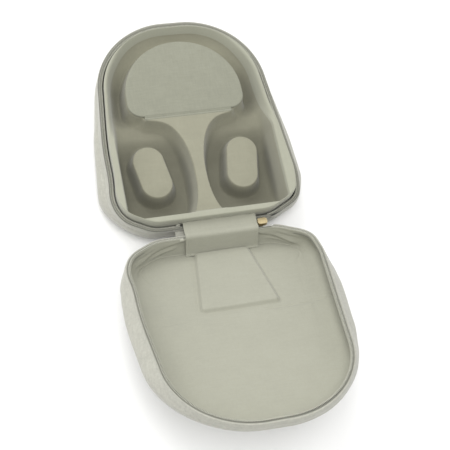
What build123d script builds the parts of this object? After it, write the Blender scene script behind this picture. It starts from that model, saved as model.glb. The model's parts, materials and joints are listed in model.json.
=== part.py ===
from build123d import *
import math
import os

# Carrying case for folding-free headphones, lying open.
# Millimetres. The origin is the middle of the flat face that the tray stands on.
# +Z is up, +Y runs from the hinge to the far end of the tray, and the lid lies toward -Y.

# ---- sizes of the rim, shared by both halves ----
RIM_LENGTH = 223.5          # hinge edge to far edge, along the line where tape meets coil
RIM_HALF_WIDTH = 98.7       # half the width where the side lines would meet the hinge edge
SIDE_TAPER = 20.9           # how much narrower each side is at the far edge
HINGE_CORNER_R = 44.0
FAR_CORNER_R = 75.0
HINGE_TO_RIM = 6.3          # hinge axis to that line

TRAY_DEPTH = 38.0           # closing plane to the face the tray stands on
LID_DEPTH = 26.0
SHELL = 3.0                 # wall of the tray shell
LID_WALL = 2.4              # soft wall of the lid
LINING = 0.8
OPEN_TILT = 26.06           # the open lid's far end is this much above the tray's plane

TAPE_OUT = 2.3              # zip tape stands this far outside the line
TAPE_IN = 0.4
TAPE_TOP = 0.5              # below the closing plane
TAPE_LOW = 6.0
COIL_IN = 1.7
COIL_TOP = 0.4
COIL_HEIGHT = 1.6
SLIT = 0.3                  # clearance between parts that only lie close

LIP_OUT = 2.5               # padded lip: its outer face, inside the line
LIP_IN_SIDE = 11.0
LIP_IN_NEAR = 10.5
LIP_IN_HALF = 79.0          # beside the ear wells the lip's inner face runs straight
LIP_CORNER_R = 20.0
LIP_STEP = 15.0             # below this the lip's foam is thinner at the hinge edge
LIP_IN_FAR = 8.5
LIP_PROUD = 10.0            # above the closing plane
LIP_ROUND = 3.2
LIP_FALLS_FROM = 84.0       # the lip sinks between here and there, and is low round the far end
LIP_FALLS_TO = 128.0
LIP_LOW = 3.0

WELL_DEPTH = 30.0           # closing plane down to the floor of the wells
FLOOR_THICK = TRAY_DEPTH - SHELL - 1.4 - WELL_DEPTH
SADDLE_FROM = 106.0         # the floor rises between the ear wells and the headband channel
SADDLE_TO = 119.0
SADDLE_TOP = 17.0           # below the closing plane
SADDLE_IN = 50.0
CHANNEL_FROM = 128.0
CHANNEL_TO = 204.0
CHANNEL_DEEP = 27.0
CHANNEL_SHALLOW = 13.0

FLAP_EDGE = 120.5           # fold line of the cable flap, from the hinge edge
FLAP_HALF = 60.0
FLAP_CORNER_R = 15.0
FLAP_TOP = 1.6              # below the closing plane
FLAP_THICK = 2.4
FOLD = 1.8                  # each side of the fold line is left free by this
TUB_WALL = 6.0
TUB_FLOOR = 3.0

BRIDGE_TOP = 2.2
BRIDGE_WAIST = 5.5
WAIST_AT = 64.0

BOSS_X = 46.0
BOSS_AT = 65.0
BOSS_LENGTH = 57.0
BOSS_WIDTH = 32.0
BOSS_TOP = 11.0             # below the closing plane
BOSS_ROUND = 5.0

PAD_NEAR = 6.0              # raised pad on the lid's floor
PAD_FAR = 83.0
PAD_HALF_NEAR = 27.0
PAD_HALF_FAR = 38.0
PAD_HIGH = 3.0
PAD_CORNER_R = 6.0
PAD_SHIFT = 6.0

HINGE_FLAP_HALF = 36.0
FLAP_SHIFT = 7.0            # the inner flap sits off centre, toward the zip slider
HINGE_FLAP_THICK = 0.9
SPINE_HALF = 37.0
SPINE_THICK = 1.4

SLIDER_X = 49.0
SLIDER_LENGTH = 9.6
SLIDER_WIDTH = 7.0
PLATE = 1.0
PLATE_GAP = 1.8
CROWN_HIGH = 2.8
WIRE = 1.1
BAIL_LENGTH = 8.0
BAIL_WIDTH = 6.0
TAB_LENGTH = 21.0
TAB_WIDTH = 6.4
TAB_THICK = 1.8
STOP_HALF = HINGE_TO_RIM - TAPE_OUT - SLIT
STOP_THICK = 1.2
NOTCH_START = 43.6          # the tapes are cut back here, where the slider parks
NOTCH_END = 68.0

HINGE_Y = -(HINGE_TO_RIM + RIM_LENGTH / 2)
HINGE_Z = TRAY_DEPTH


def on_hinge(shape):
    """Moves a shape drawn about the hinge axis to where the axis really lies."""
    return Pos(0, HINGE_Y, HINGE_Z) * shape


def as_lid(shape):
    """A shape drawn on the tray's side of the hinge becomes one on the open lid."""
    return on_hinge(Rot(-OPEN_TILT, 0, 0) * mirror(shape, about=Plane.XZ))


def as_zip_end(shape):
    """The joined end of the zip sits halfway between the two planes."""
    return on_hinge(Rot(-OPEN_TILT / 2, 0, 0) * shape)


def rim(side, near=None, far=None, height=0.0):
    """The case's outline, moved out by side, near (hinge edge) and far, as a flat face."""
    near = side if near is None else near
    far = side if far is None else far
    slope = SIDE_TAPER / RIM_LENGTH
    move = side * math.hypot(1, slope)
    y_near = -near
    y_far = RIM_LENGTH + far
    x_near = RIM_HALF_WIDTH + move - slope * y_near
    x_far = RIM_HALF_WIDTH + move - slope * y_far
    base = Polygon(
        (-x_near, y_near + HINGE_TO_RIM),
        (x_near, y_near + HINGE_TO_RIM),
        (x_far, y_far + HINGE_TO_RIM),
        (-x_far, y_far + HINGE_TO_RIM),
        align=None,
    )
    corners = base.vertices().sort_by(Axis.Y)
    base = fillet(corners[:2], HINGE_CORNER_R + side)
    corners = base.vertices().sort_by(Axis.Y)
    base = fillet(corners[-2:], FAR_CORNER_R + min(side, 0) / 2)
    return Pos(0, 0, height) * base.faces()[0]


def through(sections):
    """A smooth solid through outlines given as (height, side, near, far)."""
    wires = [rim(side, near, far, z).outer_wire() for z, side, near, far in sections]
    return Solid.make_loft(wires)


def slab(side, near, far, low, high):
    return extrude(rim(side, near, far, low), high - low)


def strip(points, half, thick):
    """A band of cloth: a bent line in the YZ plane, made thick and run along X."""
    return across(Polyline(*points, *reversed(offset_line(points, thick)), close=True), half)


def offset_line(points, thick):
    """The same bent line, moved to its right-hand side by thick."""
    moved = []
    for k, (y, z) in enumerate(points):
        before = points[max(k - 1, 0)]
        after = points[min(k + 1, len(points) - 1)]
        ways = []
        for a, b in ((before, (y, z)), ((y, z), after)):
            run = math.dist(a, b)
            if run > 0:
                ways.append(((b[1] - a[1]) / run, -(b[0] - a[0]) / run))
        ny = sum(w[0] for w in ways) / len(ways)
        nz = sum(w[1] for w in ways) / len(ways)
        size = math.hypot(ny, nz)
        reach = thick / size
        moved.append((y + ny / size * reach, z + nz / size * reach))
    return moved


def across(bent, half):
    """A closed line in the YZ plane, made into a solid that runs along X."""
    return extrude(Pos(-half, 0, 0) * make_face(Plane.YZ * bent), 2 * half, dir=(1, 0, 0))


def box(x0, x1, y0, y1, z0, z1):
    return Pos((x0 + x1) / 2, (y0 + y1) / 2, (z0 + z1) / 2) * Box(x1 - x0, y1 - y0, z1 - z0)


def shifted(y):
    """A distance from the hinge edge, as one from the hinge axis."""
    return y + HINGE_TO_RIM


# ---- tray shell ----
outer = through([
    (-TAPE_LOW - SLIT, 2.2, 2.2, 2.2),
    (-17.0, 9.5, 2.0, 6.5),
    (-28.0, 7.8, -1.2, 5.0),
    (-TRAY_DEPTH + 2.5, 0.0, -5.0, -1.5),
    (-TRAY_DEPTH, -6.0, -9.0, -7.0),
])
inner = through([
    (-TAPE_LOW - SLIT, 2.2 - SHELL, 2.2 - SHELL, 2.2 - SHELL),
    (-17.0, 9.5 - SHELL, 2.0 - SHELL, 6.5 - SHELL),
    (-28.0, 7.8 - SHELL, -1.2 - SHELL, 5.0 - SHELL),
    (-TRAY_DEPTH + SHELL + 0.6, -1.5, -7.2, -3.0),
])
tray_shell = outer - inner

# ---- zip tapes and coils, drawn on the tray's side and mirrored for the lid ----
notch = box(NOTCH_START, NOTCH_END, -20, HINGE_TO_RIM - 0.6, -20, 20)
hinge_gap = box(FLAP_SHIFT - HINGE_FLAP_HALF - 1, FLAP_SHIFT + HINGE_FLAP_HALF, -20, 20, -20, 20)
slider_gap = box(0, SLIDER_X + 7, -20, 20, -20, 20)


def zip_tape():
    ring = slab(TAPE_OUT, TAPE_OUT, TAPE_OUT, -TAPE_LOW, -TAPE_TOP)
    ring -= slab(-TAPE_IN, -TAPE_IN, -TAPE_IN, -TAPE_LOW - 1, 1)
    return ring - notch


def zip_coil():
    ring = slab(-TAPE_IN, -TAPE_IN, -TAPE_IN, -COIL_TOP - COIL_HEIGHT, -COIL_TOP)
    ring -= slab(-COIL_IN, -COIL_IN, -COIL_IN, -9, 1)
    return ring - hinge_gap - slider_gap


def top_stop():
    """The pinched metal stop at the end of one coil."""
    x = FLAP_SHIFT - HINGE_FLAP_HALF - 4.0
    y = shifted(COIL_IN)
    return box(x - 2.0, x + 1.6, y - 0.1 + SLIT, y + 0.5 + SLIT, -3.0, -0.5)


# ---- tray insert: padded lip, floor, cable tub, bridge and ear bosses ----
lip = slab(-LIP_OUT, -LIP_OUT, -LIP_OUT, -LIP_STEP, LIP_PROUD)
lip += slab(-LIP_OUT, -LIP_OUT - 3.0, -LIP_OUT, -WELL_DEPTH, -LIP_STEP)
slope = SIDE_TAPER / RIM_LENGTH
side_line = RIM_HALF_WIDTH - LIP_IN_SIDE * math.hypot(1, slope)
meets = (side_line - LIP_IN_HALF) / slope
top = RIM_LENGTH - LIP_IN_FAR
well_line = Polygon(
    (-LIP_IN_HALF, shifted(LIP_IN_NEAR)),
    (LIP_IN_HALF, shifted(LIP_IN_NEAR)),
    (LIP_IN_HALF, shifted(meets)),
    (side_line - slope * top, shifted(top)),
    (slope * top - side_line, shifted(top)),
    (-LIP_IN_HALF, shifted(meets)),
    align=None,
)
corners = well_line.vertices().sort_by(Axis.Y)
well_line = fillet(corners[:2], LIP_CORNER_R)
corners = well_line.vertices().sort_by(Axis.Y)
well_line = fillet(corners[-2:], FAR_CORNER_R - LIP_IN_SIDE / 2)
lip -= extrude(Pos(0, 0, -WELL_DEPTH - 1) * well_line, WELL_DEPTH + LIP_PROUD + 2)
lip = chamfer(lip.edges().group_by(Axis.Z)[-1], LIP_ROUND * 0.7)
far_y = shifted(RIM_LENGTH + 20)
drop = Polyline(
    (shifted(LIP_FALLS_FROM), LIP_PROUD + 0.01),
    (shifted(LIP_FALLS_TO), LIP_LOW),
    (far_y, LIP_LOW),
    (far_y, LIP_PROUD + 5),
    (shifted(LIP_FALLS_FROM), LIP_PROUD + 5),
    close=True,
)
lip -= across(drop, RIM_HALF_WIDTH + 10)

floor = slab(-LIP_OUT - 1.5, -LIP_OUT - 4.9, -LIP_OUT - 2.0, -WELL_DEPTH - FLOOR_THICK, -WELL_DEPTH)
rise = Polyline(
    (shifted(SADDLE_FROM - 8), -WELL_DEPTH - 1),
    (shifted(SADDLE_FROM), -SADDLE_TOP),
    (shifted(SADDLE_TO), -SADDLE_TOP),
    (shifted(CHANNEL_FROM), -CHANNEL_DEEP),
    (shifted(CHANNEL_TO), -CHANNEL_SHALLOW),
    (far_y, -CHANNEL_SHALLOW),
    (far_y, -WELL_DEPTH - 1),
    close=True,
)


def dee(inset, low, high):
    """The cable compartment's D, from the fold line to its arch, inset all round."""
    half = FLAP_HALF - inset
    centre = shifted(FLAP_EDGE + FLAP_HALF - 36.0)
    start = shifted(FLAP_EDGE) + FOLD + inset
    face = Pos(0, centre, 0) * Circle(half)
    face -= Pos(0, centre - half, 0) * Rectangle(4 * half, 2 * half)
    straight = Pos(0, (start + centre) / 2 + 0.005, 0) * Rectangle(2 * half, centre - start + 0.01)
    whole = face + straight
    corners = whole.vertices().sort_by(Axis.Y)[:2]
    whole = fillet(corners, max(FLAP_CORNER_R - inset, 4))
    return extrude(Pos(0, 0, low) * whole, high - low)


raised = across(rise, RIM_HALF_WIDTH)
raised &= slab(-LIP_IN_SIDE - SLIT, -LIP_IN_NEAR - SLIT, -LIP_IN_FAR - SLIT, -WELL_DEPTH - 0.5, 0)
raised -= dee(-SLIT, -WELL_DEPTH - 2, 5)
raised -= box(-SADDLE_IN, SADDLE_IN, 0, shifted(FLAP_EDGE + FLAP_CORNER_R), -WELL_DEPTH - 2, 5)
floor += raised
tub = dee(0, -WELL_DEPTH, -FLAP_TOP - FLAP_THICK)
tub -= dee(TUB_WALL, -WELL_DEPTH + TUB_FLOOR, 5)
flap = dee(0, -FLAP_TOP - FLAP_THICK, -FLAP_TOP)
flap = fillet(flap.edges().group_by(Axis.Z)[-1], 0.9)

fold_half = FLAP_HALF - FLAP_CORNER_R - 1
fold_y = shifted(FLAP_EDGE)
fold_z = -FLAP_TOP - FLAP_THICK / 2
fold = box(-fold_half, fold_half, fold_y - FOLD, fold_y + FOLD, fold_z - 0.5, fold_z + 0.5)

waist = shifted(WAIST_AT)
top_y = shifted(FLAP_EDGE) - FOLD
low_y = shifted(LIP_IN_NEAR) + SLIT
with BuildSketch() as hourglass:
    with BuildLine():
        far_right = (fold_half, top_y)
        waist_right = (BRIDGE_WAIST, waist)
        near_right = (18.0, low_y)
        near_left = (-18.0, low_y)
        waist_left = (-BRIDGE_WAIST, waist)
        far_left = (-fold_half, top_y)
        Line(far_left, far_right)
        ThreePointArc(far_right, (13.0, top_y - 18.0), waist_right)
        ThreePointArc(waist_right, (7.5, waist - 24.0), near_right)
        Line(near_right, near_left)
        ThreePointArc(near_left, (-7.5, waist - 24.0), waist_left)
        ThreePointArc(waist_left, (-13.0, top_y - 18.0), far_left)
    make_face()
bridge = extrude(Pos(0, 0, -WELL_DEPTH) * hourglass.sketch, WELL_DEPTH - BRIDGE_TOP)


def ear_boss(side):
    straight = BOSS_LENGTH - BOSS_WIDTH
    face = Rot(0, 0, 90) * SlotCenterToCenter(straight, BOSS_WIDTH)
    body = extrude(face, WELL_DEPTH - BOSS_TOP)
    body = fillet(body.edges().group_by(Axis.Z)[-1], BOSS_ROUND)
    return Pos(side * BOSS_X, shifted(BOSS_AT), -WELL_DEPTH) * body


# ---- lid: soft wall, stiff panel, linings and raised pad ----
lid_outer = through([
    (-TAPE_LOW - SLIT, 2.2, 2.2, 2.2),
    (-13.0, 10.5, 3.4, -0.6),
    (-20.0, 8.0, 2.6, -9.0),
    (-LID_DEPTH + 2.6, 4.0, 1.0, -13.5),
])
lid_inner = through([
    (-TAPE_LOW - SLIT, 2.2 - LID_WALL, 2.2 - LID_WALL, 2.2 - LID_WALL),
    (-13.0, 10.5 - LID_WALL, 3.4 - LID_WALL, -0.6 - LID_WALL),
    (-20.0, 8.0 - LID_WALL, 2.6 - LID_WALL, -9.0 - LID_WALL),
    (-LID_DEPTH + 2.6, 4.0 - LID_WALL, 1.0 - LID_WALL, -13.5 - LID_WALL),
])
lid_wall = lid_outer - lid_inner

panel_side = 3.6
lid_panel = through([
    (-LID_DEPTH + 2.6, panel_side, 0.8, -13.8),
    (-LID_DEPTH + 1.0, panel_side - 1.2, -0.4, -16.0),
    (-LID_DEPTH, panel_side - 6.0, -5.0, -22.0),
])
board = slab(-1.0, -3.0, -16.8, -LID_DEPTH + 2.6, -LID_DEPTH + 3.6)
lid_floor = slab(0.4, -2.2, -15.4, -LID_DEPTH + 3.6, -LID_DEPTH + 3.6 + LINING)
floor_top = -LID_DEPTH + 3.6 + LINING

pad = Polygon(
    (-PAD_HALF_NEAR, shifted(PAD_NEAR)),
    (PAD_HALF_NEAR, shifted(PAD_NEAR)),
    (PAD_HALF_FAR, shifted(PAD_FAR)),
    (-PAD_HALF_FAR, shifted(PAD_FAR)),
    align=None,
)
pad = fillet(pad.vertices(), PAD_CORNER_R)
pad = extrude(Pos(PAD_SHIFT, 0, floor_top) * pad, PAD_HIGH)
pad = fillet(pad.edges().group_by(Axis.Z)[-1], 1.8)

# ---- fabric hinge: outer spine below the axis, inner flap above it ----
half_tilt = math.radians(OPEN_TILT)


def tilted(y, z):
    """A point given on the lid's side, as (distance from the axis, height), when open."""
    c = math.cos(half_tilt)
    s = math.sin(half_tilt)
    return (-y * c + z * s, y * s + z * c)


spine_end = HINGE_TO_RIM - TAPE_OUT - SLIT
spine = strip(
    [(spine_end, -4.4), (0.0, -4.4), tilted(0.6, -4.4), tilted(spine_end, -4.4)],
    SPINE_HALF,
    SPINE_THICK,
)
lid_floor_z = floor_top + SLIT
inner_flap = Pos(FLAP_SHIFT, 0, 0) * strip(
    [
        (HINGE_TO_RIM + LIP_OUT - 0.1, 1.9),
        (0.0, 1.7),
        tilted(HINGE_TO_RIM - 1.5, 1.2),
        tilted(HINGE_TO_RIM + 2.0, 0.2),
        tilted(HINGE_TO_RIM + 3.6, lid_floor_z),
    ],
    HINGE_FLAP_HALF,
    -HINGE_FLAP_THICK,
)

# ---- zip slider, its crown, bail and pull tab, and the stop that joins the coils ----
deck = PLATE_GAP / 2 + PLATE
plate = fillet(
    Box(SLIDER_LENGTH, SLIDER_WIDTH, PLATE).edges().filter_by(Axis.Z),
    2.4,
)
slider = Pos(0, 0, deck - PLATE / 2) * plate
slider += Pos(0, 0, -deck + PLATE / 2) * plate
slider += Pos(-SLIDER_LENGTH / 4, 0, 0) * Cylinder(1.3, PLATE_GAP + 0.2)
slider = Pos(SLIDER_X, 0, 0) * slider

crown_hole = WIRE + 0.7
crown = box(-3.2, 3.2, -0.8, 0.8, -deck - CROWN_HIGH, -deck)
crown = fillet(crown.edges().group_by(Axis.Z)[0].filter_by(Axis.Y), 1.3)
crown -= box(-2.2, 2.2, -2, 2, -deck - crown_hole, -deck + 1)
crown = Pos(SLIDER_X, 0, 0) * crown

bail_z = -deck - crown_hole / 2

bail = box(-WIRE / 2, WIRE / 2, -BAIL_WIDTH / 2, BAIL_WIDTH / 2, -BAIL_LENGTH - WIRE / 2, WIRE / 2)
bail -= box(-5, 5, -BAIL_WIDTH / 2 + WIRE, BAIL_WIDTH / 2 - WIRE, -BAIL_LENGTH + WIRE / 2, -WIRE / 2)
bail = fillet(bail.edges().filter_by(Axis.Y), WIRE * 0.35)
bail = Pos(SLIDER_X, 0, bail_z) * bail

tab_pivot = bail_z - BAIL_LENGTH
tab = box(-TAB_THICK / 2, TAB_THICK / 2, -TAB_WIDTH / 2, TAB_WIDTH / 2, -TAB_LENGTH, -WIRE / 2 - 0.3)
tab = fillet(tab.edges().filter_by(Axis.X).group_by(Axis.Z)[0], 2.6)
loop = Rot(90, 0, 0) * Cylinder(WIRE / 2 + 1.3, BAIL_WIDTH - 2 * WIRE - 0.6)
tab = tab + loop
tab -= Rot(90, 0, 0) * Cylinder(WIRE / 2 + 0.55, BAIL_WIDTH * 2)
tab = Pos(SLIDER_X, 0, tab_pivot) * tab

stop_x = SLIDER_X - SLIDER_LENGTH / 2 - 2.0
bottom_stop = Pos(stop_x, 0, 0) * Box(2.4, 2 * STOP_HALF, STOP_THICK)
bottom_stop = fillet(bottom_stop.edges().filter_by(Axis.X), 0.4)

parts = {
    "tray_shell": on_hinge(tray_shell),
    "tray_zip_tape": on_hinge(zip_tape()),
    "tray_zip_coil": on_hinge(zip_coil()),
    "tray_lip": on_hinge(lip),
    "tray_floor": on_hinge(floor),
    "cable_tub": on_hinge(tub),
    "cable_flap": on_hinge(flap),
    "cable_flap_fold": on_hinge(fold),
    "ear_bridge": on_hinge(bridge),
    "ear_boss_left": on_hinge(ear_boss(-1)),
    "ear_boss_right": on_hinge(ear_boss(1)),
    "lid_side_wall": as_lid(lid_wall),
    "lid_panel": as_lid(lid_panel),
    "lid_board": as_lid(board),
    "lid_floor_lining": as_lid(lid_floor),
    "lid_pad": as_lid(pad),
    "lid_zip_tape": as_lid(zip_tape()),
    "lid_zip_coil": as_lid(zip_coil()),
    "hinge_spine": on_hinge(spine),
    "hinge_flap": on_hinge(inner_flap),
    "slider_body": as_zip_end(slider),
    "slider_crown": as_zip_end(crown),
    "pull_bail": as_zip_end(bail),
    "pull_tab": as_zip_end(tab),
    "zip_bottom_stop": as_zip_end(bottom_stop),
    "tray_top_stop": on_hinge(top_stop()),
    "lid_top_stop": as_lid(top_stop()),
}

os.makedirs("parts", exist_ok=True)
for name, shape in parts.items():
    export_step(shape, f"parts/{name}.step")
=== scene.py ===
import bpy
import json
import math
import numpy as np
from mathutils import Matrix, Vector


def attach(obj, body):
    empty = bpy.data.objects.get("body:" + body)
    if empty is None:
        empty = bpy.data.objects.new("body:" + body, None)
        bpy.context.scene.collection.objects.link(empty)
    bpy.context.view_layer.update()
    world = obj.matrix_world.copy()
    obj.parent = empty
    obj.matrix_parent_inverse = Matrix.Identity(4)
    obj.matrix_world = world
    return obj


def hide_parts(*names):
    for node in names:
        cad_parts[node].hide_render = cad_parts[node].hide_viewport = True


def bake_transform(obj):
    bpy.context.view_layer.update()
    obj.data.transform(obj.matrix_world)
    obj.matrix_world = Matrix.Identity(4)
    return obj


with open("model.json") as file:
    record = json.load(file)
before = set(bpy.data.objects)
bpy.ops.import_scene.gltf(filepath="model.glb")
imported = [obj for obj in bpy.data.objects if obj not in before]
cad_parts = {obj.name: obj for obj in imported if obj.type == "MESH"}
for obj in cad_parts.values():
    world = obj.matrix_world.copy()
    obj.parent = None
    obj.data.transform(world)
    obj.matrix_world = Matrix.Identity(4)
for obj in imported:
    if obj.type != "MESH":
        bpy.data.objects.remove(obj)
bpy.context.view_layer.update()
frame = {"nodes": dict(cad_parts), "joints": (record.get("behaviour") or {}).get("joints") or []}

MM = 0.001

# ------ sizes, in mm, as in the CAD model
RIM_L, HALF, TAPER, R_NEAR, R_FAR = 223.5, 98.7, 20.9, 44.0, 75.0
TO_RIM = 6.3
TILT = math.radians(26.06)
joint = {j["name"]: j for j in frame["joints"]}
HINGE = np.array(joint["lid_hinge"]["pos_m"]) * 1000.0
FLAP_EDGE, FLAP_HALF, FLAP_R, FOLD = 120.5, 60.0, 15.0, 1.8
FLAP_ROUND = FLAP_EDGE + FLAP_HALF - 36.0      # centre of the flap's round end
BOSS_X, BOSS_AT, BOSS_L, BOSS_W, BOSS_TOP, BOSS_TURN = 46.0, 65.0, 57.0, 32.0, 11.0, math.radians(10)
LID_FLOOR = -21.6
FLAP_SHIFT, PAD_SHIFT = 7.0, 6.0


# ------ places
def turn(y, z, a):
    return y * math.cos(a) - z * math.sin(a), y * math.sin(a) + z * math.cos(a)


def place(p, where):
    """Points (x, distance from the rim's hinge edge, height over the closing plane) put in the frame."""
    p = np.asarray(p, float)
    x, s, h = p[..., 0], p[..., 1] + TO_RIM, p[..., 2]
    if where == "lid":
        y, z = turn(-s, h, -TILT)
    elif where == "zip":
        y, z = turn(s - TO_RIM, h, -TILT / 2)
    elif where == "axis":
        y, z = s - TO_RIM, h
    else:
        y, z = s, h
    return np.stack([x, y + HINGE[1], z + HINGE[2]], -1) * MM


def smooth(t):
    t = np.clip(t, 0, 1)
    return t * t * (3 - 2 * t)


def curve_through(keys, x):
    """A smooth line through keys (x, value): monotone between keys, with no overshoot."""
    kx = np.array([k[0] for k in keys], float)
    ky = np.array([k[1] for k in keys], float)
    h = np.diff(kx)
    d = np.diff(ky) / h
    m = np.zeros(len(kx))
    for i in range(1, len(kx) - 1):
        if d[i - 1] * d[i] > 0:
            w1, w2 = 2 * h[i] + h[i - 1], h[i] + 2 * h[i - 1]
            m[i] = (w1 + w2) / (w1 / d[i - 1] + w2 / d[i])
    x = np.clip(x, kx[0], kx[-1])
    i = np.clip(np.searchsorted(kx, x) - 1, 0, len(kx) - 2)
    t = (x - kx[i]) / h[i]
    a, b = (1 + 2 * t) * (1 - t) ** 2, t * (1 - t) ** 2
    c, e = t * t * (3 - 2 * t), t * t * (t - 1)
    return a * ky[i] + b * h[i] * m[i] + c * ky[i + 1] + e * h[i] * m[i + 1]


# ------ closed outlines of lines and arcs
def sample(path, n):
    """n even points along a closed path of lines and arcs, with outward normals and the distance run."""
    runs = []
    for part in path:
        if part[0] == "line":
            a, b = np.array(part[1], float), np.array(part[2], float)
            runs.append(float(np.linalg.norm(b - a)))
        else:
            runs.append(abs(part[4] - part[3]) * part[2])
    ends = np.cumsum(runs)
    total = ends[-1]
    at = np.arange(n) * total / n
    points, normals = np.zeros((n, 2)), np.zeros((n, 2))
    for k, s in enumerate(at):
        i = int(np.searchsorted(ends, s, side="right"))
        part, done = path[i], s - (ends[i] - runs[i])
        if part[0] == "line":
            a, b = np.array(part[1], float), np.array(part[2], float)
            d = (b - a) / runs[i]
            points[k], normals[k] = a + d * done, (d[1], -d[0])
        else:
            c, r, a0, a1 = part[1], part[2], part[3], part[4]
            ang = a0 + (a1 - a0) * done / runs[i]
            normals[k] = (math.cos(ang), math.sin(ang))
            points[k] = np.array(c) + r * normals[k]
    return points, normals, at, total


SIDE = math.hypot(RIM_L, TAPER)
NX, NY = RIM_L / SIDE, TAPER / SIDE
LEAN = math.atan2(TAPER, RIM_L)
CN = (HALF - (R_NEAR + R_NEAR * NY) / NX, R_NEAR)
CF = (HALF - (R_FAR + (RIM_L - R_FAR) * NY) / NX, RIM_L - R_FAR)


def rim_path():
    a, b = np.array(CN) + R_NEAR * np.array([NX, NY]), np.array(CF) + R_FAR * np.array([NX, NY])
    right = [
        ("line", (0, 0), (CN[0], 0)),
        ("arc", CN, R_NEAR, -math.pi / 2, LEAN),
        ("line", a, b),
        ("arc", CF, R_FAR, LEAN, math.pi / 2),
        ("line", (CF[0], RIM_L), (-CF[0], RIM_L)),
    ]
    left = [
        ("arc", (-CF[0], CF[1]), R_FAR, math.pi / 2, math.pi - LEAN),
        ("line", (-b[0], b[1]), (-a[0], a[1])),
        ("arc", (-CN[0], CN[1]), R_NEAR, math.pi - LEAN, 1.5 * math.pi),
        ("line", (-CN[0], 0), (0, 0)),
    ]
    return right + left


def dee_path(edge):
    c, r, mid = FLAP_HALF - FLAP_R, FLAP_R, FLAP_ROUND
    return [
        ("line", (0, edge), (c, edge)),
        ("arc", (c, edge + r), r, -math.pi / 2, 0),
        ("line", (FLAP_HALF, edge + r), (FLAP_HALF, mid)),
        ("arc", (0, mid), FLAP_HALF, 0, math.pi),
        ("line", (-FLAP_HALF, mid), (-FLAP_HALF, edge + r)),
        ("arc", (-c, edge + r), r, math.pi, 1.5 * math.pi),
        ("line", (-c, edge), (0, edge)),
    ]


N = 560
RIM_P, RIM_N, RIM_U, RIM_TOTAL = sample(rim_path(), N)
FACE = RIM_N.copy()


def near_point(x, s, reach):
    """1 at a point of the rim, falling to 0 over a reach along it."""
    return np.exp(-((RIM_P[:, 0] - x) ** 2 + (RIM_P[:, 1] - s) ** 2) / reach ** 2)


# the soft rim is bowed in by a few mm on its left and stands out at its right corner
BOW = -3.9 * near_point(-94, 52, 30) - 1.9 * near_point(-71, 4.5, 12) + 3.4 * near_point(90.5, 18,
        12) - 0.7 * near_point(73, 4, 8)
RIM_P = RIM_P + RIM_N * BOW[:, None]
step = np.roll(RIM_P, -1, 0) - np.roll(RIM_P, 1, 0)
RIM_N = np.stack([step[:, 1], -step[:, 0]], 1) / np.linalg.norm(step, axis=1)[:, None]


def rim_depth(x, s):
    """How far inside the rim line a point is."""
    x = np.abs(x)
    depth = np.minimum(np.minimum(s, RIM_L - s), (HALF - x) * NX - s * NY)
    for (cx, cy), r, n1 in ((CN, R_NEAR, (0, -1)), (CF, R_FAR, (0, 1))):
        dx, dy = x - cx, s - cy
        # inside the wedge between the two straight sides' normals
        det = n1[0] * NY - n1[1] * NX
        a = (dx * NY - dy * NX) / det
        b = (n1[0] * dy - n1[1] * dx) / det
        depth = np.where((a > 0) & (b > 0), r - np.hypot(dx, dy), depth)
    return depth


# ------ mesh makers
def make(name, verts, faces, material, body=None, smooth_shade=True, flip=False, stands_for=()):
    mesh = bpy.data.meshes.new(name)
    if flip:
        faces = [tuple(reversed(f)) for f in faces]
    mesh.from_pydata([tuple(v) for v in verts], [], [tuple(int(i) for i in f) for f in faces])
    mesh.validate()
    mesh.materials.append(material)
    if smooth_shade:
        mesh.polygons.foreach_set("use_smooth", [True] * len(mesh.polygons))
    mesh.update()
    obj = bpy.data.objects.new(name, mesh)
    bpy.context.scene.collection.objects.link(obj)
    if body:
        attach(obj, body)
    if stands_for:
        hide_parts(*stands_for)
    return obj


def ring_faces(n, rows, start=0):
    """Quads of a grid closed along its first direction: vertex (i, k) is i * rows + k."""
    faces = []
    for i in range(n):
        j = (i + 1) % n
        for k in range(rows - 1):
            faces.append((start + i * rows + k, start + j * rows + k, start + j * rows + k + 1,
                    start + i * rows + k + 1))
    return faces


def along(keys, n):
    """A smooth line through keys of shape (N, K, 2), with n steps between keys."""
    k = np.asarray(keys, float)
    first, last = 2 * k[:, :1] - k[:, 1:2], 2 * k[:, -1:] - k[:, -2:-1]
    k = np.concatenate([first, k, last], 1)
    out = []
    for i in range(1, k.shape[1] - 2):
        p0, p1, p2, p3 = k[:, i - 1], k[:, i], k[:, i + 1], k[:, i + 2]
        for q in range(n):
            t = q / n
            out.append(0.5 * (2 * p1 + (p2 - p0) * t + (2 * p0 - 5 * p1 + 4 * p2 - p3) * t * t
                              + (3 * p1 - p0 - 3 * p2 + p3) * t ** 3))
    out.append(k[:, -2])
    return np.stack(out, 1)


def profile(keys, n):
    """Keys of (outward, height), each a number or one value per outline point, as an array of shape (n, K, 2)."""
    still = np.zeros(n)
    return np.stack([np.stack([a + still, b + still], -1) for a, b in keys], 1)


def ring_surface(points, normals, rows):
    """(N, K, 3) points of rows of (outward, height) carried round an outline."""
    xy = points[:, None, :] + normals[:, None, :] * rows[..., :1]
    return np.concatenate([xy, rows[..., 1:]], -1)


def cap(verts, rim_ids, centre, steps, height, start):
    """Rings that close an outline towards a centre, and the faces that join them."""
    rim = verts[rim_ids]
    new, faces = [], []
    last = list(rim_ids)
    n = len(rim_ids)
    for q in range(1, steps):
        k = 1 - q / steps
        ring = centre + (rim - centre) * k
        ring[:, 2] = rim[:, 2] + height(k)
        ids = [start + len(new) + i for i in range(n)]
        new.extend(ring)
        for i in range(n):
            j = (i + 1) % n
            faces.append((last[i], last[j], ids[j], ids[i]))
        last = ids
    middle = start + len(new)
    new.append(np.array([centre[0], centre[1], rim[:, 2].mean() + height(0)]))
    for i in range(n):
        faces.append((last[i], last[(i + 1) % n], middle))
    return np.array(new), faces


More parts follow.
